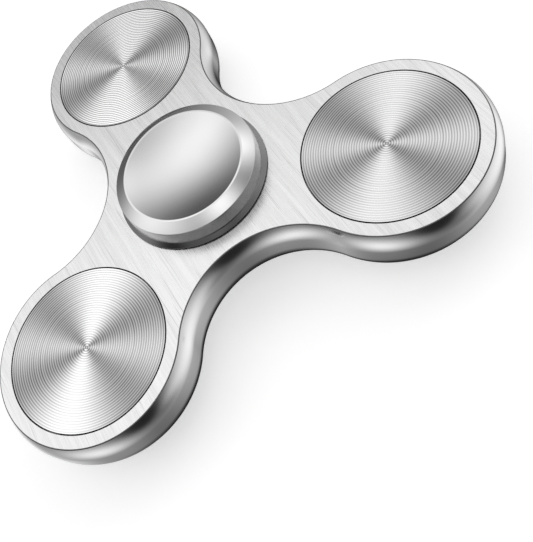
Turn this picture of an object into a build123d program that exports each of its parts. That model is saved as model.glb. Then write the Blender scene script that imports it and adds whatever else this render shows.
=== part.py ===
from build123d import *
from math import cos, radians, sin
import os

# Three-lobed fidget spinner. A flat metal frame turns on a miniature ball bearing. Two finger
# buttons hold the bearing's inner ring from both faces. Each lobe carries a steel weight between
# two thin turned discs that lie flush with the frame's faces.
# Millimetres. +Z is the spin axis, and the origin is the bearing's centre. Lobe 1 lies on +X.

os.makedirs("parts", exist_ok=True)

# ---- Frame ----
lobe_count = 3
lobe_distance = 26.0  # spin axis to a lobe's centre
lobe_radius = 12.75  # the face outline round a lobe
waist_distance = 12.9  # spin axis to the face outline at the narrowest place
frame_thickness = 7.0
wall_bulge = 0.9  # how far the side wall swells past the face outline
wall_flat = 1.8  # the upright band at the middle of the side wall
face_edge_round = 0.2
pocket_edge_break = 0.04

# ---- Lobe inserts ----
disc_radius = 10.9
disc_thickness = 1.0
disc_gap = 0.13  # the thin ring that shows round a disc
disc_edge_break = 0.04
groove_pitch = 0.328
groove_depth = 0.03
groove_land = 0.07  # the plain border outside the turned grooves
weight_radius = 10.0
weight_edge_break = 0.3

# ---- Ball bearing, the R188 inch size ----
bearing_outer_radius = 6.35
bearing_bore_radius = 3.175
bearing_width = 4.762
ball_radius = 0.794
ball_circle_radius = 4.7625
ball_count = 10
ball_play = 0.01  # between a ball and either raceway
raceway_radius = 0.826
inner_land_radius = 4.2
outer_land_radius = 5.32
ring_edge_break = 0.15
shield_seat_radius = 5.55
shield_seat_height = 1.75  # from the bearing's middle plane
shield_thickness = 0.2
shield_inner_radius = 4.3
shield_fit = 0.01
snap_groove_radius = 5.7
snap_ring_inner_radius = 5.25
snap_ring_thickness = 0.24
snap_groove_width = 0.25
snap_ring_opening = 24.0  # degrees
cage_inner_radius = 4.35
cage_outer_radius = 5.17
cage_bottom = -1.15
cage_top = 0.35
cage_pocket_play = 0.046
bearing_lip_radius = 5.9
bearing_seat_break = 0.3

# ---- Finger buttons and what joins them ----
cap_running_gap = 0.2  # frame face to the cap's underside
cap_foot_radius = 10.6
cap_foot_edge = 0.05
cap_crease_radius = 10.05
cap_crease_height = 0.75  # heights of the cap are above the frame's face
cap_wall_radius = 9.87
cap_shoulder_height = 2.68
cap_shoulder_round = 0.12
cap_rim_outer_radius = 8.4
cap_rim_inner_radius = 8.15
cap_height = 3.4
cap_dish_depth = 1.2
spigot_radius = 3.165
spigot_end = 0.15  # from the middle plane, so that the two caps never touch
spigot_edge_break = 0.2
spacer_bore_radius = 3.18
spacer_radius = 4.1
screw_radius = 1.5
screw_half_length = 4.2
screw_pitch = 0.5
screw_thread_depth = 0.27
screw_end_break = 0.3
screw_socket_flats = 1.5
screw_socket_depth = 1.6
tapped_depth = 4.8  # from the middle plane to the end of a cap's tapped hole
tapped_cone = 0.5

# ---- Worked out from the above ----
half_thickness = frame_thickness / 2
bearing_half = bearing_width / 2
pocket_radius = disc_radius + disc_gap
weight_half = half_thickness - disc_thickness
cap_underside = half_thickness + cap_running_gap
cap_top = half_thickness + cap_height
dish_floor = cap_height - cap_dish_depth  # above the frame's face
dish_sphere = (cap_rim_inner_radius**2 + cap_dish_depth**2) / (2 * cap_dish_depth)
dish_halfway = dish_floor + dish_sphere - (dish_sphere**2 - cap_rim_inner_radius**2 / 4) ** 0.5
sides = {"front": 1, "back": -1}
lobe_angles = [360 / lobe_count * index for index in range(lobe_count)]
valley_angles = [angle + 180 / lobe_count for angle in lobe_angles]

# A concave arc joins each two lobes. Its circle touches both lobe circles and the waist point.
waist_excess = lobe_radius - waist_distance
valley_distance = (lobe_distance**2 - waist_excess**2) / (lobe_distance + 2 * waist_excess)
valley_radius = valley_distance - waist_distance


def polar(radius, angle):
    """A point at this radius and angle, in degrees, about the spin axis."""
    return (radius * cos(radians(angle)), radius * sin(radians(angle)))


def upright_plane(centre, facing):
    """An upright plane through a centre, whose X axis points along this angle and whose Y axis is up."""
    along = polar(1, facing)
    return Plane((*centre, 0), x_dir=(*along, 0), z_dir=(along[1], -along[0], 0))


def draw_wall_section(radius, swell):
    """Half a round body's section: flat ends of this radius, and a side wall that swells to an upright band."""
    for end in (-1, 1):
        band_end = (radius + swell, end * wall_flat / 2)
        TangentArc(band_end, (radius, end * half_thickness), tangent=(0, end))
    Line((radius + swell, -wall_flat / 2), (radius + swell, wall_flat / 2))
    Polyline(
        (radius, half_thickness),
        (0, half_thickness),
        (0, -half_thickness),
        (radius, -half_thickness),
    )


def save(piece, name):
    """Name a finished piece and write it as its own STEP file."""
    piece.label = name
    export_step(piece, f"parts/{name}.step")


# ---- The frame: hub, waists, lobes, weight bores, disc pockets and bearing seat ----
with BuildPart() as frame:
    corners = []
    for lobe_angle, valley_angle in zip(lobe_angles, valley_angles):
        corners += [polar(lobe_distance, lobe_angle), polar(valley_distance, valley_angle)]
    with BuildSketch(Plane.XY.offset(-half_thickness)):
        Polygon(*corners, align=None)
    extrude(amount=frame_thickness)
    for angle in valley_angles:
        centre = polar(valley_distance, angle)
        with BuildSketch(upright_plane(centre, angle)):
            with BuildLine():
                draw_wall_section(valley_radius, -wall_bulge)
            make_face()
        revolve(axis=Axis((*centre, 0), (0, 0, 1)), mode=Mode.SUBTRACT)
    for angle in lobe_angles:
        centre = polar(lobe_distance, angle)
        with BuildSketch(upright_plane(centre, angle + 180)):
            with BuildLine():
                draw_wall_section(lobe_radius, wall_bulge)
            make_face()
        revolve(axis=Axis((*centre, 0), (0, 0, 1)))
    fillet([face.edges() for face in frame.faces().filter_by(Axis.Z)], face_edge_round)

    with BuildSketch(Plane.XY.offset(-half_thickness)):
        with PolarLocations(lobe_distance, lobe_count):
            Circle(weight_radius)
    extrude(amount=frame_thickness, mode=Mode.SUBTRACT)
    for side in sides.values():
        with BuildSketch(Plane.XY.offset(side * half_thickness)):
            with PolarLocations(lobe_distance, lobe_count):
                Circle(pocket_radius)
        extrude(amount=-side * disc_thickness, mode=Mode.SUBTRACT)
    faces = frame.faces().filter_by(Axis.Z).sort_by(Axis.Z)
    for face in (faces[0], faces[-1]):
        chamfer(face.inner_wires().edges(), pocket_edge_break)

    with BuildSketch(Plane.XY.offset(-half_thickness)):
        Circle(bearing_lip_radius)
    extrude(amount=frame_thickness, mode=Mode.SUBTRACT)
    with BuildSketch(Plane.XY.offset(-bearing_half)):
        Circle(bearing_outer_radius)
    extrude(amount=half_thickness + bearing_half, mode=Mode.SUBTRACT)
    front_face = frame.faces().sort_by(Axis.Z)[-1]
    bearing_mouth = front_face.inner_wires().edges().sort_by(SortBy.RADIUS)[0]
    chamfer(bearing_mouth, bearing_seat_break)
save(frame.part, "frame")


# ---- Lobe inserts: a steel weight between a front disc and a back disc, in every lobe ----
def disc_profile(side):
    """Half of a disc's section, with its outer face cut into rings of fine V grooves."""
    outer = side * half_thickness
    inner = outer - side * disc_thickness
    groove_count = int((disc_radius - groove_land) / groove_pitch)
    points = [(0, inner), (0, outer)]
    for index in range(groove_count):
        points.append((groove_pitch * (index + 0.5), outer - side * groove_depth))
        points.append((groove_pitch * (index + 1), outer))
    points.append((disc_radius - disc_edge_break, outer))
    points.append((disc_radius, outer - side * disc_edge_break))
    points.append((disc_radius, inner))
    return points


for number, angle in enumerate(lobe_angles, start=1):
    centre = polar(lobe_distance, angle)
    lobe_axis = Axis((*centre, 0), (0, 0, 1))

    with BuildPart() as weight:
        with BuildSketch(Plane.XY.offset(-weight_half)):
            with Locations(centre):
                Circle(weight_radius)
        extrude(amount=2 * weight_half)
        chamfer(weight.edges().filter_by(GeomType.CIRCLE), weight_edge_break)
    save(weight.part, f"lobe_{number}_weight")

    for side_name, side in sides.items():
        with BuildPart() as disc:
            with BuildSketch(upright_plane(centre, angle)):
                with BuildLine():
                    Polyline(*disc_profile(side), close=True)
                make_face()
            revolve(axis=lobe_axis)
        save(disc.part, f"lobe_{number}_{side_name}_disc")

# ---- Ball bearing: two rings, balls in a crown cage, and a shield and snap ring at each face ----
with BuildPart() as inner_ring:
    with BuildSketch(Plane.XZ) as section:
        with Locations(((bearing_bore_radius + inner_land_radius) / 2, 0)):
            Rectangle(inner_land_radius - bearing_bore_radius, bearing_width)
        chamfer(section.vertices(), ring_edge_break)
        with Locations((ball_circle_radius - ball_radius - ball_play + raceway_radius, 0)):
            Circle(raceway_radius, mode=Mode.SUBTRACT)
    revolve(axis=Axis.Z)
save(inner_ring.part, "bearing_inner_ring")

with BuildPart() as outer_ring:
    with BuildSketch(Plane.XZ) as section:
        with Locations(((outer_land_radius + bearing_outer_radius) / 2, 0)):
            Rectangle(bearing_outer_radius - outer_land_radius, bearing_width)
        chamfer(section.vertices().group_by(Axis.X)[-1], ring_edge_break)
        with Locations((ball_circle_radius + ball_radius + ball_play - raceway_radius, 0)):
            Circle(raceway_radius, mode=Mode.SUBTRACT)
    revolve(axis=Axis.Z)
    snap_groove_start = shield_seat_height + shield_thickness
    for side in sides.values():
        with BuildSketch(Plane.XY.offset(side * shield_seat_height)):
            Circle(shield_seat_radius)
        extrude(amount=side * (bearing_half - shield_seat_height), mode=Mode.SUBTRACT)
        with BuildSketch(Plane.XY.offset(side * snap_groove_start)):
            Circle(snap_groove_radius)
        extrude(amount=side * snap_groove_width, mode=Mode.SUBTRACT)
save(outer_ring.part, "bearing_outer_ring")

with BuildPart() as cage:
    with BuildSketch(Plane.XY.offset(cage_bottom)):
        Circle(cage_outer_radius)
        Circle(cage_inner_radius, mode=Mode.SUBTRACT)
    extrude(amount=cage_top - cage_bottom)
    with PolarLocations(ball_circle_radius, ball_count):
        Sphere(ball_radius + cage_pocket_play, mode=Mode.SUBTRACT)
save(cage.part, "bearing_cage")

for index in range(ball_count):
    with BuildPart() as ball:
        with Locations(polar(ball_circle_radius, 360 / ball_count * index)):
            Sphere(ball_radius)
    save(ball.part, f"bearing_ball_{index + 1:02d}")

for side_name, side in sides.items():
    with BuildPart() as shield:
        with BuildSketch(Plane.XY.offset(side * shield_seat_height)):
            Circle(shield_seat_radius - shield_fit)
            Circle(shield_inner_radius, mode=Mode.SUBTRACT)
        extrude(amount=side * shield_thickness)
    save(shield.part, f"bearing_{side_name}_shield")

    with BuildPart() as snap_ring:
        with BuildSketch(Plane.XY.offset(side * snap_groove_start)):
            Circle(snap_groove_radius - shield_fit)
            Circle(snap_ring_inner_radius, mode=Mode.SUBTRACT)
            with BuildLine():
                Polyline(
                    (0, 0),
                    polar(2 * snap_groove_radius, -snap_ring_opening / 2),
                    polar(2 * snap_groove_radius, snap_ring_opening / 2),
                    close=True,
                )
            make_face(mode=Mode.SUBTRACT)
        extrude(amount=side * snap_ring_thickness)
    save(snap_ring.part, f"bearing_{side_name}_snap_ring")


# ---- Finger buttons, the spacers under them and the screw that joins them ----
def face_height(height, side):
    """Height above the frame's front or back face, as a Z value."""
    return side * (half_thickness + height)


for side_name, side in sides.items():
    shoulder = (cap_wall_radius, face_height(cap_shoulder_height, side))
    with BuildPart() as cap:
        with BuildSketch(Plane.XZ) as section:
            with BuildLine():
                Polyline(
                    (0, face_height(dish_floor, side)),
                    (0, side * (tapped_depth + tapped_cone)),
                    (screw_radius, side * tapped_depth),
                    (screw_radius, side * spigot_end),
                    (spigot_radius - spigot_edge_break, side * spigot_end),
                    (spigot_radius, side * (spigot_end + spigot_edge_break)),
                    (spigot_radius, side * cap_underside),
                    (cap_foot_radius, side * cap_underside),
                    (cap_foot_radius, side * (cap_underside + cap_foot_edge)),
                    (cap_crease_radius, face_height(cap_crease_height, side)),
                    shoulder,
                    (cap_rim_outer_radius, side * cap_top),
                    (cap_rim_inner_radius, side * cap_top),
                )
                ThreePointArc(
                    (cap_rim_inner_radius, side * cap_top),
                    (cap_rim_inner_radius / 2, face_height(dish_halfway, side)),
                    (0, face_height(dish_floor, side)),
                )
            make_face()
            corner = section.vertices().sort_by_distance((*shoulder, 0))[0]
            fillet(corner, cap_shoulder_round)
        revolve(axis=Axis.Z)
    save(cap.part, f"{side_name}_cap")

    with BuildPart() as spacer:
        with BuildSketch(Plane.XY.offset(side * bearing_half)):
            Circle(spacer_radius)
            Circle(spacer_bore_radius, mode=Mode.SUBTRACT)
        extrude(amount=side * (cap_underside - bearing_half))
    save(spacer.part, f"{side_name}_spacer")

with BuildPart() as screw:
    with BuildSketch(Plane.XZ):
        with BuildLine():
            thread_count = int((screw_half_length - screw_end_break) / screw_pitch)
            thread_points = []
            for index in range(-thread_count, thread_count):
                crest = index * screw_pitch
                thread_points.append((screw_radius, crest))
                thread_points.append((screw_radius - screw_thread_depth, crest + screw_pitch / 2))
            Polyline(
                (0, -screw_half_length),
                (screw_radius - screw_end_break, -screw_half_length),
                *thread_points,
                (screw_radius, thread_count * screw_pitch),
                (screw_radius - screw_end_break, screw_half_length),
                (0, screw_half_length),
                close=True,
            )
        make_face()
    revolve(axis=Axis.Z)
    with BuildSketch(Plane.XY.offset(screw_half_length)):
        RegularPolygon(screw_socket_flats / 2, 6, major_radius=False)
    extrude(amount=-screw_socket_depth, mode=Mode.SUBTRACT)
save(screw.part, "joining_screw")
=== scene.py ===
import math

import bmesh
import bpy
from mathutils import Matrix, Vector
from mathutils.geometry import delaunay_2d_cdt


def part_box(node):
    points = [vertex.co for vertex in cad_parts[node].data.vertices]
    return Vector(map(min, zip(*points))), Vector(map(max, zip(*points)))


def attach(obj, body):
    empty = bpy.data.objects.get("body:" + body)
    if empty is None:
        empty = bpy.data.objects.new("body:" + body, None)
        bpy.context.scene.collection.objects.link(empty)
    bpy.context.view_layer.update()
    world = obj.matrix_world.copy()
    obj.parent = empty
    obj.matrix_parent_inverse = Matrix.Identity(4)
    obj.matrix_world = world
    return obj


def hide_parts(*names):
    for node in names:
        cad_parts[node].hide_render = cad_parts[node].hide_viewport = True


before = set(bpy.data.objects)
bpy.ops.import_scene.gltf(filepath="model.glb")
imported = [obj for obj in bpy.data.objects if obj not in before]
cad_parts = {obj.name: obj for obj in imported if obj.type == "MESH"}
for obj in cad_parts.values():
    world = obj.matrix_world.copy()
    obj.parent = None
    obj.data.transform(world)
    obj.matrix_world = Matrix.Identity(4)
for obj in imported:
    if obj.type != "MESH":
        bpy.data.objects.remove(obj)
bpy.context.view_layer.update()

# ---- Sizes, in metres. Those that the frame gives are read from it, and the rest repeat the CAD ----
MM = 0.001
LOBES = (1, 2, 3)
SIDES = {"front": 1, "back": -1}
wall_bulge = 0.9 * MM
wall_flat = 1.8 * MM
waist_distance = 12.9 * MM
face_edge_round = 0.2 * MM
pocket_edge_break = 0.04 * MM
disc_gap = 0.13 * MM
disc_edge_break = 0.04 * MM
groove_pitch = 0.328 * MM
groove_depth = 0.03 * MM
groove_land = 0.07 * MM
bearing_lip_radius = 5.9 * MM
bearing_half = 2.381 * MM
bearing_seat_break = 0.3 * MM
cap_foot_edge = 0.05 * MM
cap_crease_radius = 10.05 * MM
cap_crease_height = 0.75 * MM
cap_wall_radius = 9.87 * MM
cap_shoulder_height = 2.68 * MM
cap_rim_outer_radius = 8.4 * MM
cap_rim_inner_radius = 8.15 * MM
cap_dish_depth = 1.2 * MM
spigot_radius = 3.165 * MM
spigot_end = 0.15 * MM
spigot_edge_break = 0.2 * MM
tapped_radius = 1.5 * MM
tapped_depth = 4.8 * MM
tapped_cone = 0.5 * MM

# The rounds on the buttons' corners. The CAD rounds only the shoulder.
rim_inner_round = 0.04 * MM
rim_outer_round = 0.06 * MM
shoulder_round = 0.10 * MM
crease_round = 0.25 * MM
foot_round = 0.05 * MM


def centre_of(node):
    low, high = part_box(node)
    return (low + high) / 2


half_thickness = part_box("frame")[1].z
lobe_distance = centre_of("lobe_1_weight").x
lobe_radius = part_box("frame")[1].x - lobe_distance - wall_bulge
disc_low, disc_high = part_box("lobe_1_front_disc")
disc_radius = (disc_high.x - disc_low.x) / 2
disc_thickness = disc_high.z - disc_low.z
weight_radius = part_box("lobe_1_weight")[1].x - lobe_distance
pocket_radius = disc_radius + disc_gap
bearing_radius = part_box("bearing_outer_ring")[1].x
cap_foot_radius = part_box("front_cap")[1].x
cap_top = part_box("front_cap")[1].z
cap_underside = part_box("front_spacer")[1].z
floor_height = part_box("back_cap")[0].z
waist_excess = lobe_radius - waist_distance
valley_distance = (lobe_distance**2 - waist_excess**2) / (lobe_distance + 2 * waist_excess)
valley_radius = valley_distance - waist_distance
lobe_turn = math.tau / len(LOBES)

# ---- Fineness of the meshes ----
OUTLINE_STEP = math.radians(1.5)
FACE_EDGE_STEPS = 5
WALL_STEPS = 16
CORNER_STEPS = 5
DISH_STEPS = 32
GROOVE_STEPS = 4
POCKET_SEGMENTS = 192
SEAT_SEGMENTS = 128
TURNED_SEGMENTS = 240
SHARP_ANGLE = math.radians(25)


def polar(radius, angle):
    return Vector((radius * math.cos(angle), radius * math.sin(angle)))


# ---- Mesh building ----
def add_ring(bm, radius, height, segments, centre=(0, 0)):
    """A ring of points at this height, or one point where the radius is nothing."""
    if radius == 0:
        return [bm.verts.new((*centre, height))]
    ring = []
    for index in range(segments):
        point = polar(radius, math.tau * index / segments)
        ring.append(bm.verts.new((point.x + centre[0], point.y + centre[1], height)))
    return ring


def join_rings(bm, ring_a, ring_b, material):
    """One band of faces between two rings. Either ring may be a single point."""
    count = max(len(ring_a), len(ring_b))
    for index in range(count):
        after = (index + 1) % count
        corners = []
        for ring, order in ((ring_a, (index, after)), (ring_b, (after, index))):
            corners += [ring[0]] if len(ring) == 1 else [ring[place] for place in order]
        bm.faces.new(corners).material_index = material


def turn(bm, profile, segments, materials, centre=(0, 0)):
    """A turned surface from a section of (radius, height) points, with a material for each band."""
    rings = [add_ring(bm, radius, height, segments, centre) for radius, height in profile]
    for ring_a, ring_b, material in zip(rings, rings[1:], materials):
        join_rings(bm, ring_a, ring_b, material)
    return rings


def arc(centre, radius, start, end, steps):
    """Points along an arc of a section, from one angle to another."""
    points = []
    for index in range(steps + 1):
        angle = start + (end - start) * index / steps
        points.append((centre[0] + radius * math.cos(angle), centre[1] + radius * math.sin(angle)))
    return points


def round_corner(before, corner, after, radius):
    """Points of a small arc that takes the place of a section's corner."""
    corner = Vector(corner)
    towards = (Vector(before) - corner).normalized()
    onwards = (Vector(after) - corner).normalized()
    half = towards.angle(onwards) / 2
    middle = corner + (towards + onwards).normalized() * radius / math.sin(half)
    start = corner + towards * radius / math.tan(half) - middle
    end = corner + onwards * radius / math.tan(half) - middle
    first = math.atan2(start.y, start.x)
    sweep = (math.atan2(end.y, end.x) - first + math.pi) % math.tau - math.pi
    return arc(middle, radius, first, first + sweep, CORNER_STEPS)


def make_section(points):
    """A section from (radius, height, corner round) points, as a list of (radius, height)."""
    section = []
    for index, (radius, height, rounding) in enumerate(points):
        if rounding:
            before, after = points[index - 1][:2], points[index + 1][:2]
            section += round_corner(before, (radius, height), after, rounding)
        else:
            section.append((radius, height))
    return section


def mirror_section(section, side):
    """The section as it is on the front, or upside down on the back."""
    return [(radius, side * height) for radius, height in section]


def finish_piece(bm, name, materials, body, replaced, place=(0, 0, 0)):
    """Make an object of a mesh, and let it stand for a CAD node on that node's body."""
    bmesh.ops.recalc_face_normals(bm, faces=bm.faces)
    for face in bm.faces:
        face.smooth = True
    for edge in bm.edges:
        if len(edge.link_faces) == 2 and edge.calc_face_angle() > SHARP_ANGLE:
            edge.smooth = False
    mesh = bpy.data.meshes.new(name)
    bm.to_mesh(mesh)
    bm.free()
    for material in materials:
        mesh.materials.append(material)
    piece = bpy.data.objects.new(name, mesh)
    piece.location = place
    bpy.context.scene.collection.objects.link(piece)
    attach(piece, body)
    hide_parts(replaced)
    return piece


# ---- Material building ----
def add_node(tree, kind, inputs, **settings):
    """A shader node, with its sockets set to numbers or linked to other nodes' sockets."""
    node = tree.nodes.new("ShaderNode" + kind)
    for name, value in settings.items():
        setattr(node, name, value)
    for name, value in inputs.items():
        if isinstance(value, bpy.types.NodeSocket):
            tree.links.new(value, node.inputs[name])
        else:
            node.inputs[name].default_value = value
    return node


def maths(tree, operation, *values):
    """One step of arithmetic on numbers or on other nodes' values."""
    return add_node(tree, "Math", dict(enumerate(values)), operation=operation).outputs["Value"]


def add_values(tree, first, second, weight):
    """The first value, plus the second times its weight."""
    return maths(tree, "MULTIPLY_ADD", second, weight, first)


def wave(tree, value, frequency, shift=0.0):
    """The cosine of a value that is first scaled and shifted."""
    return maths(tree, "COSINE", maths(tree, "MULTIPLY_ADD", value, frequency, -shift))


def spread(tree, value, low, high, from_low=0.3, from_high=0.7):
    """A value, spread between two numbers. The usual range is a noise's."""
    inputs = {"Value": value, "From Min": from_low, "From Max": from_high, "To Min": low, "To Max": high}
    return add_node(tree, "MapRange", inputs).outputs["Result"]


def scaled_position(tree, size, turned=0.0):
    """Object position, turned about Z and measured in pieces of this size along X, Y and Z."""
    place = add_node(tree, "TexCoord", {}).outputs["Object"]
    spun = add_node(tree, "VectorRotate", {"Vector": place, "Angle": -turned}, rotation_type="Z_AXIS")
    inputs = {0: spun.outputs["Vector"], 1: tuple(1 / length for length in size)}
    return add_node(tree, "VectorMath", inputs, operation="MULTIPLY").outputs["Vector"]


def noise(tree, vector, detail=2.0, roughness=0.5):
    inputs = {"Vector": vector, "Scale": 1.0, "Detail": detail, "Roughness": roughness}
    return add_node(tree, "TexNoise", inputs).outputs["Fac"]


def set_tone(tree, surface, value):
    """A neutral grey of this brightness, as the surface's own colour."""
    colour = add_node(tree, "CombineColor", {"Red": value, "Green": value, "Blue": value})
    tree.links.new(colour.outputs["Color"], surface.inputs["Base Color"])


def set_roughness(tree, surface, value):
    tree.links.new(value, surface.inputs["Roughness"])


def set_bump(tree, surface, height, depth):
    bump = add_node(tree, "Bump", {"Height": height, "Distance": depth, "Strength": 1.0})
    tree.links.new(bump.outputs["Normal"], surface.inputs["Normal"])


def start_metal(name, anisotropy=0.0):
    material = bpy.data.materials.new(name)
    material.use_nodes = True
    surface = material.node_tree.nodes["Principled BSDF"]
    surface.inputs["Metallic"].default_value = 1.0
    surface.inputs["Anisotropic"].default_value = anisotropy
    return material, material.node_tree, surface


# ---- Materials ----
brush_angle = math.radians(-56)
hairline_size = (5 * MM, 0.08 * MM, 1 * MM)  # along the brushing, across it and down
band_size = (18 * MM, 0.5 * MM, 5 * MM)
scratch_size = (9 * MM, 0.13 * MM, 1 * MM)
hairline_depth = 0.012 * MM
satin_cloud = 9 * MM
satin_unevenness = 0.02
satin_depth = 0.002 * MM
fine_grain = 0.25 * MM
soft_grain = 2 * MM
ring_low, ring_high = 0.3, 1.1  # the range of the turned rings' pattern

# Painted highlights: the discs' colour is lighter in a broad and a narrow pair of wedges, fixed to each
# disc, which stand in for the light that the turning marks catch.
wedges_per_turn = 2
painted_wedge_base = 0.12
broad_wedge_angle = math.radians(84)
broad_painted_highlight = 0.66
narrow_wedge_angle = math.radians(173)
narrow_wedge_sharpness = 1.43
narrow_painted_highlight = 1.15
ring_contrast = 0.85
ring_contrast_limit = 1.15  # a wedge as bright as this has no dark rings
middle_contrast = 0.9
middle_radius = 3.5 * MM  # the rings show in every wedge inside this


def make_brushed(name):
    """Flat metal with straight hairline brushing, and a few deeper single lines."""
    material, tree, surface = start_metal(name)
    fine = noise(tree, scaled_position(tree, hairline_size, brush_angle), detail=3.0, roughness=0.7)
    bands = noise(tree, scaled_position(tree, band_size, brush_angle))
    lines = noise(tree, scaled_position(tree, scratch_size, brush_angle), detail=1.0)
    streaks = add_values(tree, fine, bands, weight=0.4)
    tone = spread(tree, streaks, low=0.70, high=0.97, from_low=0.45, from_high=0.95)
    scratch = spread(tree, lines, low=0.0, high=0.18, from_low=0.62, from_high=0.74)
    set_tone(tree, surface, maths(tree, "SUBTRACT", tone, scratch))
    set_roughness(tree, surface, spread(tree, fine, low=0.22, high=0.36))
    set_bump(tree, surface, fine, hairline_depth)
    return material


def make_satin(name, shade, roughness, grain=fine_grain):
    """Smooth blasted and polished metal with a fine grain."""
    material, tree, surface = start_metal(name)
    fine = noise(tree, scaled_position(tree, (grain,) * 3))
    cloud = noise(tree, scaled_position(tree, (satin_cloud,) * 3))
    set_tone(tree, surface, spread(tree, cloud, shade - satin_unevenness, shade + satin_unevenness))
    mixed = add_values(tree, fine, cloud, weight=0.5)
    rough = spread(tree, mixed, roughness * 0.9, roughness * 1.1, from_low=0.5, from_high=1.0)
    set_roughness(tree, surface, rough)
    set_bump(tree, surface, fine, satin_depth)
    return material


def start_turned(name, roughness, anisotropy, pitch):
    """Lathe-turned metal: rings about the piece's own upright axis, which stretch its reflections."""
    material, tree, surface = start_metal(name, anisotropy)
    place = add_node(tree, "TexCoord", {}).outputs["Object"]
    flat = add_node(tree, "VectorMath", {0: place, 1: (1, 1, 0)}, operation="MULTIPLY").outputs["Vector"]
    radius = add_node(tree, "VectorMath", {0: flat}, operation="LENGTH").outputs["Value"]
    inputs = {"W": radius, "Scale": 0.7 / pitch, "Detail": 3.0}
    uneven = add_node(tree, "TexNoise", inputs, noise_dimensions="1D").outputs["Fac"]
    rings = add_values(tree, 0.5, wave(tree, radius, math.tau / pitch), weight=0.35)
    rings = add_values(tree, rings, uneven, weight=0.4)
    rough = spread(tree, rings, roughness * 1.15, roughness * 0.85, ring_low, ring_high)
    set_roughness(tree, surface, rough)
    tangent = add_node(tree, "Tangent", {}, direction_type="RADIAL", axis="Z")
    tree.links.new(tangent.outputs["Tangent"], surface.inputs["Tangent"])
    surface.inputs["Anisotropic Rotation"].default_value = 0.25
    return material, tree, surface, place, radius, rings


def make_ring_metal(name, shade, roughness, anisotropy, pitch):
    """Turned metal of one tone, with slightly darker rings."""
    material, tree, surface, _, _, rings = start_turned(name, roughness, anisotropy, pitch)
    set_tone(tree, surface, spread(tree, rings, shade * 0.8, shade * 1.1, ring_low, ring_high))
    return material


def make_painted_wedge_disc(name, painted_gain, roughness, anisotropy):
    """A face-turned disc with painted highlights: its colour is lighter in wedges fixed to the disc, and its
    dark rings fade out in those painted wedges.
    """
    material, tree, surface, place, radius, rings = start_turned(name, roughness, anisotropy, groove_pitch)
    part = add_node(tree, "SeparateXYZ", {"Vector": place}).outputs
    angle = maths(tree, "ARCTAN2", part["Y"], part["X"])
    broad = wave(tree, angle, wedges_per_turn, wedges_per_turn * broad_wedge_angle)
    narrow = wave(tree, angle, wedges_per_turn, wedges_per_turn * narrow_wedge_angle)
    narrow = maths(tree, "MULTIPLY_ADD", narrow, narrow_wedge_sharpness, -narrow_wedge_sharpness)
    narrow = maths(tree, "EXPONENT", narrow)
    # Painted highlight: the wedges' light goes into the disc's colour, fixed to the disc.
    light = add_values(tree, painted_wedge_base, broad, broad_painted_highlight)
    light = add_values(tree, light, narrow, narrow_painted_highlight)
    dull = maths(tree, "SUBTRACT", ring_contrast_limit, light)
    middle = spread(tree, radius, low=middle_contrast, high=0.0, from_low=0.0, from_high=middle_radius)
    dull = maths(tree, "MAXIMUM", dull, middle)
    ring_cut = spread(tree, rings, low=ring_contrast, high=0.0, from_low=0.25, from_high=1.0)
    cut = maths(tree, "MULTIPLY", ring_cut, dull)
    shade = maths(tree, "MULTIPLY", light, maths(tree, "SUBTRACT", 1.0, cut))
    shade = maths(tree, "MULTIPLY", shade, painted_gain)
    set_tone(tree, surface, maths(tree, "MINIMUM", shade, 1.0))
    return material


brushed = make_brushed("frame_face_brushed")
wall_satin = make_satin("frame_wall_satin", shade=0.76, roughness=0.13)
# Painted shade: a dark copy of the metal on the face's rounded edge, the pocket walls and edge breaks, and
# the discs' sides, for the shadow lines at those seams.
edge_painted_shade = make_satin("frame_edge_painted_shade", shade=0.16, roughness=0.30)
# Painted shade: the milled metal is made dark to stand for the shade down in the pockets and the middle
# bore.
milled_with_painted_shade = make_satin("frame_pocket_milled_painted_shade", shade=0.34, roughness=0.35)
# Painted light: the discs of lobe 2 are painted brighter than the others, as lit copies of one metal.
disc_painted_gains = {1: 1.25, 2: 1.7, 3: 1.25}  # how bright each lobe's discs are
disc_metals = {
    painted_gain: make_painted_wedge_disc(f"disc_turned_rings_painted_wedges_{round(100 * painted_gain)}", painted_gain, roughness=0.18, anisotropy=0.5)
    for painted_gain in sorted(set(disc_painted_gains.values()))
}
cap_dish = make_satin("cap_dish_satin", shade=0.74, roughness=0.14)
cap_polish = make_satin("cap_shoulder_polished", shade=0.74, roughness=0.12)
# Partly real and partly painted shade: the button's side is a duller satin, and its darker tone is painted
# shade.
painted_shade_cap_side = make_satin("cap_side_satin_painted_shade", shade=0.52, roughness=0.24, grain=soft_grain)
# Painted shade: the foot ring is painted dark, for the shade in the gap at the button's base.
painted_shade_cap_foot = make_satin("cap_foot_satin_painted_shade", shade=0.30, roughness=0.20, grain=soft_grain)


# ---- The frame: its outline, its swelling side wall, its faces, pockets and bores ----
FRAME_FACE, FRAME_WALL, FRAME_MILLED, FRAME_EDGE = range(4)  # the order of its materials


def lobe_centre(lobe):
    return polar(lobe_distance, lobe_turn * (lobe - 1))


def valley_centre(lobe):
    """The middle of the valley that follows this lobe."""
    return polar(valley_distance, lobe_turn * (lobe - 0.5))


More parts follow.
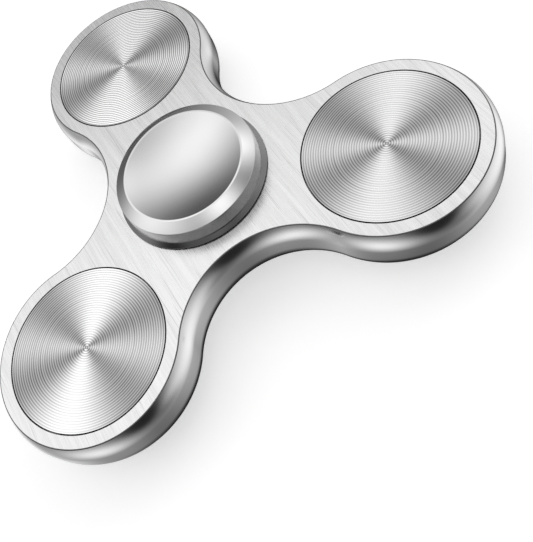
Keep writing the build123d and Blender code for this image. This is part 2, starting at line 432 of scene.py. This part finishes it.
def sample_outline():
    """Points of the face outline, counter-clockwise, each with the direction that points out of the body."""
    samples = []
    for lobe_number in LOBES:
        lobe, next_lobe = lobe_centre(lobe_number), lobe_centre(lobe_number + 1)
        valley_before, valley_after = valley_centre(lobe_number - 1), valley_centre(lobe_number)
        arcs = (
            (lobe, lobe_radius, valley_before - lobe, valley_after - lobe, 1),
            (valley_after, valley_radius, lobe - valley_after, next_lobe - valley_after, -1),
        )
        for centre, radius, from_way, to_way, turning in arcs:
            start = math.atan2(from_way.y, from_way.x)
            sweep = (turning * (math.atan2(to_way.y, to_way.x) - start)) % math.tau
            steps = round(sweep / OUTLINE_STEP)
            for place in range(steps):
                way = polar(1, start + turning * sweep * place / steps)
                samples.append((centre + way * radius, way * turning))
    return samples


def wall_section():
    """The side wall from the front face to the back face, as (offset out of the outline, height)."""
    swell_height = half_thickness - wall_flat / 2
    wall_radius = (wall_bulge**2 + swell_height**2) / (2 * wall_bulge)
    wall_middle = (wall_bulge - wall_radius, wall_flat / 2)
    edge_height = half_thickness - face_edge_round
    reach = math.sqrt((wall_radius - face_edge_round) ** 2 - (edge_height - wall_middle[1]) ** 2)
    edge_middle = (wall_middle[0] + reach, edge_height)
    meeting = math.atan2(edge_height - wall_middle[1], reach)
    upper = arc(edge_middle, face_edge_round, math.pi / 2, meeting, FACE_EDGE_STEPS)
    upper += arc(wall_middle, wall_radius, meeting, 0, WALL_STEPS)[1:]
    return upper + [(offset, -height) for offset, height in reversed(upper)]


def middle_of(points):
    return sum(points, Vector((0, 0))) / len(points)


def fill_face(bm, border, holes):
    """A flat face between a border loop and round holes, each hole given as (its ring, its radius)."""
    loops = [border] + [ring for ring, _ in holes]
    verts = [vert for loop in loops for vert in loop]
    edges, start = [], 0
    for loop in loops:
        count = len(loop)
        edges += [(start + index, start + (index + 1) % count) for index in range(count)]
        start += count
    only_inside_border, tolerance = 1, 1e-6
    flat = [vert.co.xy / MM for vert in verts]
    points, _, triangles, sources, _, _ = delaunay_2d_cdt(flat, edges, [], only_inside_border, tolerance)
    openings = [(middle_of([vert.co.xy for vert in ring]), radius) for ring, radius in holes]
    for triangle in triangles:
        middle = middle_of([points[corner] for corner in triangle]) * MM
        if all((middle - opening).length >= radius for opening, radius in openings):
            face = bm.faces.new([verts[sources[corner][0]] for corner in triangle])
            face.material_index = FRAME_FACE


def add_frame_wall(bm):
    """The side wall. It gives back its first and last loops, which border the two faces."""
    outline = sample_outline()
    loops = []
    for offset, height in wall_section():
        loops.append([bm.verts.new((*(point + out * offset), height)) for point, out in outline])
    last_band = len(loops) - 2
    for index, (upper, lower) in enumerate(zip(loops, loops[1:])):
        on_edge = min(index, last_band - index) < FACE_EDGE_STEPS
        join_rings(bm, upper, lower, FRAME_EDGE if on_edge else FRAME_WALL)
    return loops[0], loops[-1]


def add_pockets(bm):
    """The three lobes' bores, wider where the discs sit. Returns their front and back holes."""
    ledge = half_thickness - disc_thickness
    mouth_radius = pocket_radius + pocket_edge_break
    upper = [
        (mouth_radius, half_thickness),
        (pocket_radius, half_thickness - pocket_edge_break),
        (pocket_radius, ledge),
        (weight_radius, ledge),
    ]
    section = upper + [(radius, -height) for radius, height in reversed(upper)]
    materials = [FRAME_EDGE] * 2 + [FRAME_MILLED] * 3 + [FRAME_EDGE] * 2
    front_holes, back_holes = [], []
    for lobe in LOBES:
        rings = turn(bm, section, POCKET_SEGMENTS, materials, lobe_centre(lobe))
        front_holes.append((rings[0], mouth_radius))
        back_holes.append((rings[-1], mouth_radius))
    return front_holes, back_holes


def add_bearing_seat(bm):
    """The middle bore, with the lip that the bearing rests on. Returns its front and back holes."""
    mouth_radius = bearing_radius + bearing_seat_break
    section = [
        (mouth_radius, half_thickness),
        (bearing_radius, half_thickness - bearing_seat_break),
        (bearing_radius, -bearing_half),
        (bearing_lip_radius, -bearing_half),
        (bearing_lip_radius, -half_thickness),
    ]
    rings = turn(bm, section, SEAT_SEGMENTS, [FRAME_MILLED] * (len(section) - 1))
    return (rings[0], mouth_radius), (rings[-1], bearing_lip_radius)


def make_frame():
    bm = bmesh.new()
    front_border, back_border = add_frame_wall(bm)
    front_holes, back_holes = add_pockets(bm)
    front_seat, back_seat = add_bearing_seat(bm)
    fill_face(bm, front_border, front_holes + [front_seat])
    fill_face(bm, back_border, back_holes + [back_seat])
    for edge in bm.edges:
        if len({face.material_index for face in edge.link_faces}) == 2:
            edge.smooth = False
    materials = [brushed, wall_satin, milled_with_painted_shade, edge_painted_shade]
    finish_piece(bm, "frame_body", materials, "spinner", "frame")


# ---- The discs, with rings of fine rounded grooves ----
DISC_FACE, DISC_EDGE = range(2)  # the order of its materials


def disc_face_section():
    """Half of the grooved outer face's section, from its middle outwards."""
    points = [(0, 0)]
    groove_count = int((disc_radius - groove_land) / groove_pitch)
    for index in range(1, GROOVE_STEPS * groove_count + 1):
        share = index / GROOVE_STEPS
        depth = groove_depth * (1 - math.cos(math.tau * share)) / 2
        points.append((groove_pitch * share, -depth))
    points.append((disc_radius - disc_edge_break, 0))
    return points


def make_discs():
    face = disc_face_section()
    edge = [(disc_radius, -disc_edge_break), (disc_radius, -disc_thickness), (0, -disc_thickness)]
    bands = [DISC_FACE] * (len(face) - 1) + [DISC_EDGE] * len(edge)
    for lobe in LOBES:
        place = lobe_centre(lobe)
        materials = [disc_metals[disc_painted_gains[lobe]], edge_painted_shade]
        for side_name, side in SIDES.items():
            bm = bmesh.new()
            turn(bm, mirror_section(face + edge, side), TURNED_SEGMENTS, bands)
            finish_piece(
                bm, f"lobe_{lobe}_{side_name}_turned_disc", materials, "spinner",
                f"lobe_{lobe}_{side_name}_disc", (place.x, place.y, side * half_thickness),
            )


# ---- The finger buttons ----
CAP_DISH, CAP_SHOULDER, CAP_SIDE, CAP_FOOT = range(4)  # the order of its materials
dish_tangent_share = 0.97  # a point on the dish, close to its rim, as a share of the rim's radius
dish_tangent_drop = 0.06  # its drop below the rim, as a share of the dish's depth


def dish_section():
    """The dished top, a part of a sphere, from its middle to its rim."""
    dish_floor = cap_top - cap_dish_depth
    sphere_radius = (cap_rim_inner_radius**2 + cap_dish_depth**2) / (2 * cap_dish_depth)
    half_angle = math.asin(cap_rim_inner_radius / sphere_radius)
    middle = (0, dish_floor + sphere_radius)
    dish = arc(middle, sphere_radius, -math.pi / 2, half_angle - math.pi / 2, DISH_STEPS)
    return [(0, dish_floor)] + dish[1:-1]


def make_buttons():
    shoulder = (cap_wall_radius, half_thickness + cap_shoulder_height)
    crease = (cap_crease_radius, half_thickness + cap_crease_height)
    near_rim = (dish_tangent_share * cap_rim_inner_radius, cap_top - dish_tangent_drop * cap_dish_depth)
    dish = dish_section()
    rim_and_shoulder = make_section([
        (*near_rim, 0),
        (cap_rim_inner_radius, cap_top, rim_inner_round),
        (cap_rim_outer_radius, cap_top, rim_outer_round),
        (*shoulder, shoulder_round),
        (*crease, 0),
    ])[1:-1]
    crease_and_foot = make_section([
        (*shoulder, 0),
        (*crease, crease_round),
        (cap_foot_radius, cap_underside + cap_foot_edge, foot_round),
        (cap_foot_radius, cap_underside, 0),
    ])[1:]
    inside = [
        (spigot_radius, cap_underside),
        (spigot_radius, spigot_end + spigot_edge_break),
        (spigot_radius - spigot_edge_break, spigot_end),
        (tapped_radius, spigot_end),
        (tapped_radius, tapped_depth),
        (0, tapped_depth + tapped_cone),
    ]
    section = dish + rim_and_shoulder + crease_and_foot + inside
    bands = [CAP_DISH] * len(dish) + [CAP_SHOULDER] * (len(rim_and_shoulder) - 1) + [CAP_SIDE]
    bands += [CAP_FOOT] * (len(section) - 1 - len(bands))
    materials = [cap_dish, cap_polish, painted_shade_cap_side, painted_shade_cap_foot]
    for side_name, side in SIDES.items():
        bm = bmesh.new()
        turn(bm, mirror_section(section, side), TURNED_SEGMENTS, bands)
        finish_piece(
            bm, f"{side_name}_finger_button", materials, "held_core", f"{side_name}_cap"
        )


# ---- The CAD nodes that show as they are: weights, bearing, spacers and screw ----
def finish_cad_nodes():
    """Each node gets the metal of the first word below that its name holds, or else the milled metal, which
    is darkened with painted shade.
    """
    steel = make_satin("steel_ground", shade=0.62, roughness=0.30)
    bearing_steel = make_ring_metal(
        "bearing_steel_turned", shade=0.62, roughness=0.25, anisotropy=0.4, pitch=0.08 * MM
    )
    ball_steel = make_satin("ball_steel_polished", shade=0.72, roughness=0.07)
    cage_steel = make_satin("cage_steel_pressed", shade=0.55, roughness=0.35)
    shield_steel = make_satin("shield_steel_rolled", shade=0.66, roughness=0.28)
    spring_steel = make_satin("spring_steel_drawn", shade=0.40, roughness=0.32)
    metals = (
        ("weight", steel), ("snap_ring", spring_steel), ("shield", shield_steel), ("cage", cage_steel),
        ("ball", ball_steel), ("ring", bearing_steel), ("spacer", steel), ("screw", spring_steel),
    )
    for node_name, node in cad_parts.items():
        node.data.materials.clear()
        node.data.materials.append(next((metal for word, metal in metals if word in node_name), milled_with_painted_shade))


# ---- The floor, the light and the camera ----
floor_half_width = 3.0
floor_cloud = 40 * MM
floor_glow = 0.48


def make_floor():
    """A pale floor that glows a little, and that the metal doesn't mirror."""
    bm = bmesh.new()
    bmesh.ops.create_grid(bm, x_segments=8, y_segments=8, size=floor_half_width)
    mesh = bpy.data.meshes.new("floor")
    bm.to_mesh(mesh)
    bm.free()
    material = bpy.data.materials.new("floor_white")
    material.use_nodes = True
    tree = material.node_tree
    surface = tree.nodes["Principled BSDF"]
    cloud = noise(tree, scaled_position(tree, (floor_cloud,) * 3))
    set_tone(tree, surface, spread(tree, cloud, low=0.88, high=0.90))
    surface.inputs["Roughness"].default_value = 0.6
    surface.inputs["Specular IOR Level"].default_value = 0.2
    surface.inputs["Emission Color"].default_value = (1, 1, 1, 1)
    surface.inputs["Emission Strength"].default_value = floor_glow
    mesh.materials.append(material)
    floor = bpy.data.objects.new("floor", mesh)
    floor.location = (0, 0, floor_height)
    floor.visible_glossy = floor.visible_shadow = False
    bpy.context.scene.collection.objects.link(floor)


# Soft lights round the object: azimuth and elevation in degrees, angular width and brightness.
# A brightness below nothing is a dark card that takes light away.
GLOWS = (
    (208, 34, 34, 1.54),  # a wide softbox on the left
    (218, 27, 26, -1.26),  # the card that cuts its lower front part
    (68, 46, 19, 0.84),  # a smaller softbox behind on the right
    (131, 54, 24, 0.74),  # the fill between those two
    (122, 28, 15, -0.15),  # the dark strip under that fill
    (326, 75, 18, 0.89),  # an overhead light towards the camera
    (251, -25, 27, 0.77),  # light reflected up from the left, in front
    (4, -22, 41, 0.72),  # light reflected up from the right
    (37, -33, 20, 0.27),  # more of it, behind on the right
    (335, -6, 16, 0.06),  # a faint light in front on the right
    (8, 28, 22, 0.19),  # three weak fills, which the faces mirror in the views from behind
    (330, 42, 14, 0.18),
    (290, 44, 15, 0.22),
    (172, -41, 26, 0.81),  # light reflected up from the back left
    (67, 0, 39, 0.53),  # the wall behind on the right
    (306, -2, 27, -0.17),  # the dark side, where the camera stands
    (330, -34, 16, -0.14),  # a dark card low on that side
    (125, -62, 24, -0.36),  # the dark ground seen at a grazing angle
    (0, -88, 22, -0.07),  # a dark card straight below
)
studio_gain = 1.35
studio_base = 0.011
darkest_level = 0.02
level_blend = 0.16
level_seen_by_camera = 0.9


def make_world():
    """A dark studio with broad soft lights, which the camera itself sees as pale grey."""
    world = bpy.data.worlds.new("studio")
    world.use_nodes = True
    tree = world.node_tree
    tree.nodes.clear()
    way = add_node(tree, "TexCoord", {}).outputs["Generated"]
    level = studio_base
    for azimuth, elevation, width, brightness in GLOWS:
        flat = polar(math.cos(math.radians(elevation)), math.radians(azimuth))
        light_way = (flat.x, flat.y, math.sin(math.radians(elevation)))
        falloff = 1 / (1 - math.cos(math.radians(width)))
        nearness = add_node(tree, "VectorMath", {0: way, 1: light_way}, operation="DOT_PRODUCT")
        power = maths(tree, "MULTIPLY_ADD", nearness.outputs["Value"], falloff, -falloff)
        level = add_values(tree, level, maths(tree, "EXPONENT", power), brightness * studio_gain)
    level = maths(tree, "SMOOTH_MAX", level, darkest_level, level_blend)
    seen = add_node(tree, "LightPath", {}).outputs["Is Camera Ray"]
    inputs = {"Factor": seen, 2: level, 3: level_seen_by_camera}
    level = add_node(tree, "Mix", inputs, data_type="FLOAT").outputs[0]
    background = add_node(tree, "Background", {"Color": (1, 1, 1, 1), "Strength": level})
    output = add_node(tree, "OutputWorld", {"Surface": background.outputs["Background"]})
    output.is_active_output = True
    bpy.context.scene.world = world


# The camera's place, the two directions that set its turn, and its lens, fitted to the photograph.
camera_place = Vector((0.03679, -0.05170, 0.07691))
camera_right = Vector((0.94506, 0.01809, -0.32643))
camera_back = Vector((0.30285, -0.42452, 0.85327))
camera_lens = 47.76
camera_sensor = 36


def make_camera():
    data = bpy.data.cameras.new("camera")
    data.sensor_width = camera_sensor
    data.lens = camera_lens
    data.clip_start = 1 * MM
    data.clip_end = 20
    camera = bpy.data.objects.new("camera", data)
    bpy.context.scene.collection.objects.link(camera)
    right, back = camera_right.normalized(), camera_back.normalized()
    turned = Matrix((right, back.cross(right), back)).transposed().to_4x4()
    camera.matrix_world = Matrix.Translation(camera_place) @ turned
    bpy.context.scene.camera = camera
    bpy.context.scene.view_settings.view_transform = "Standard"


make_frame()
make_discs()
make_buttons()
finish_cad_nodes()
make_floor()
make_world()
make_camera()
